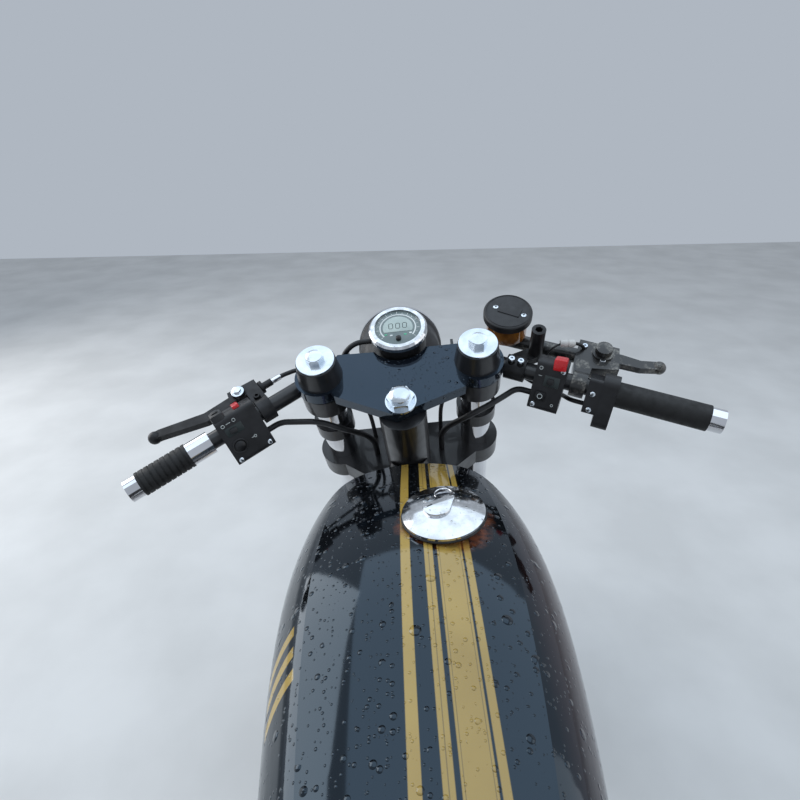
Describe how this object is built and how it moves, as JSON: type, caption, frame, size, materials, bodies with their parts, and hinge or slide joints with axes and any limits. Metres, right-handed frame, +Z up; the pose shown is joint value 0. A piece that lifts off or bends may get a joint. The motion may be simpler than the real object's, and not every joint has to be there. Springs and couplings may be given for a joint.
{
  "type": "cafe racer motorcycle",
  "caption": "Cafe racer motorcycle with a long striped tank, clip-on bars, flat top yoke, round dial, wire wheels and twin engine, parked leaning on its side stand.",
  "frame": {"origin": "bottom centre of the parked motorcycle's bounding box, on the ground", "axes": "+X to the rider's right, +Y forward, +Z up; the machine leans 5.15 degrees to the left"},
  "size_m": [0.7236, 2.0358, 1.0278],
  "materials": {
    "frame_paint": "satin black",
    "tank_paint": "gloss black",
    "chrome": "polished",
    "zinc": "bright zinc",
    "steel": "ground steel",
    "alloy": "cast and polished",
    "cylinder_black": "matt black",
    "wheel_metal": "polished",
    "shock_metal": "gloss black",
    "tyre_rubber": "dull",
    "grip_rubber": "matt",
    "filter_fabric": "pleated",
    "seat_leather": "satin",
    "lamp_glass": "clear",
    "red_lens": "gloss red",
    "black_plastic": "matt",
    "lever_black": "satin black",
    "amber_cup": "translucent amber"
  },
  "bodies": {
    "frame": {"frame_cradle": "frame_paint", "swingarm": "frame_paint", "spool_bosses": "frame_paint", "rear_axle": "zinc", "rear_brake_plate": "alloy", "chain": "steel", "gearbox_sprocket": "steel", "crankcase": "alloy", "cylinders": "cylinder_black", "cylinder_head": "alloy", "carburettors": "alloy", "air_filters": "filter_fabric", "exhausts": "chrome", "fuel_tank": "tank_paint", "fuel_cap": "chrome", "seat_subframe": "frame_paint", "tail_cowl": "tank_paint", "seat_pad": "seat_leather", "tail_lamp": "red_lens", "battery_box": "black_plastic", "rear_shocks": "shock_metal", "shock_studs": "zinc", "foot_rests": "alloy"},
    "fork": {"top_yoke": "frame_paint", "fork_top_cups": "frame_paint", "yoke_bolts": "zinc", "fork_tubes": "chrome", "lower_yoke": "frame_paint", "fork_sliders": "alloy", "front_axle": "zinc", "front_calipers": "cylinder_black", "front_mudguard": "tank_paint", "headlamp_shell": "tank_paint", "headlamp_glass": "lamp_glass", "headlamp_brackets": "frame_paint", "gauge": "chrome", "gauge_bracket": "frame_paint", "handlebars": "frame_paint", "grip_left": "grip_rubber", "grip_collar": "chrome", "grip_right": "grip_rubber", "bar_ends": "chrome", "switch_left": "black_plastic", "switch_right": "black_plastic", "throttle_housing": "black_plastic", "clutch_lever": "lever_black", "brake_lever": "lever_black", "brake_reservoir": "amber_cup", "reservoir_lid": "black_plastic", "mirror_post": "lever_black", "control_cables": "black_plastic", "brake_hoses": "grip_rubber"},
    "front_wheel": {"front_tyre": "tyre_rubber", "front_wheel": "wheel_metal", "front_discs": "steel"},
    "rear_wheel": {"rear_tyre": "tyre_rubber", "rear_wheel": "wheel_metal", "rear_sprocket": "steel"},
    "stand": {"side_stand": "frame_paint"}
  },
  "joints": [
    {"name": "steering", "type": "hinge", "parent": "frame", "child": "fork", "pos_m": [-0.02211, 0.32247, 0.93645], "axis": [-0.08, -0.454, 0.8874], "range_deg": [-30, 30]},
    {"name": "front_wheel_spin", "type": "hinge", "parent": "fork", "child": "front_wheel", "pos_m": [0.16917, 0.7, 0.32917], "axis": [0.996, 0, 0.0898], "continuous": true},
    {"name": "rear_wheel_spin", "type": "hinge", "parent": "frame", "child": "rear_wheel", "pos_m": [0.03372, -0.7, 0.31696], "axis": [0.996, 0, 0.0898], "continuous": true},
    {"name": "stand_fold", "type": "hinge", "parent": "frame", "child": "stand", "pos_m": [-0.06401, 0.04, 0.15353], "axis": [-0.7989, 0.0812, 0.5959], "range_deg": [0, 85]}
  ]
}
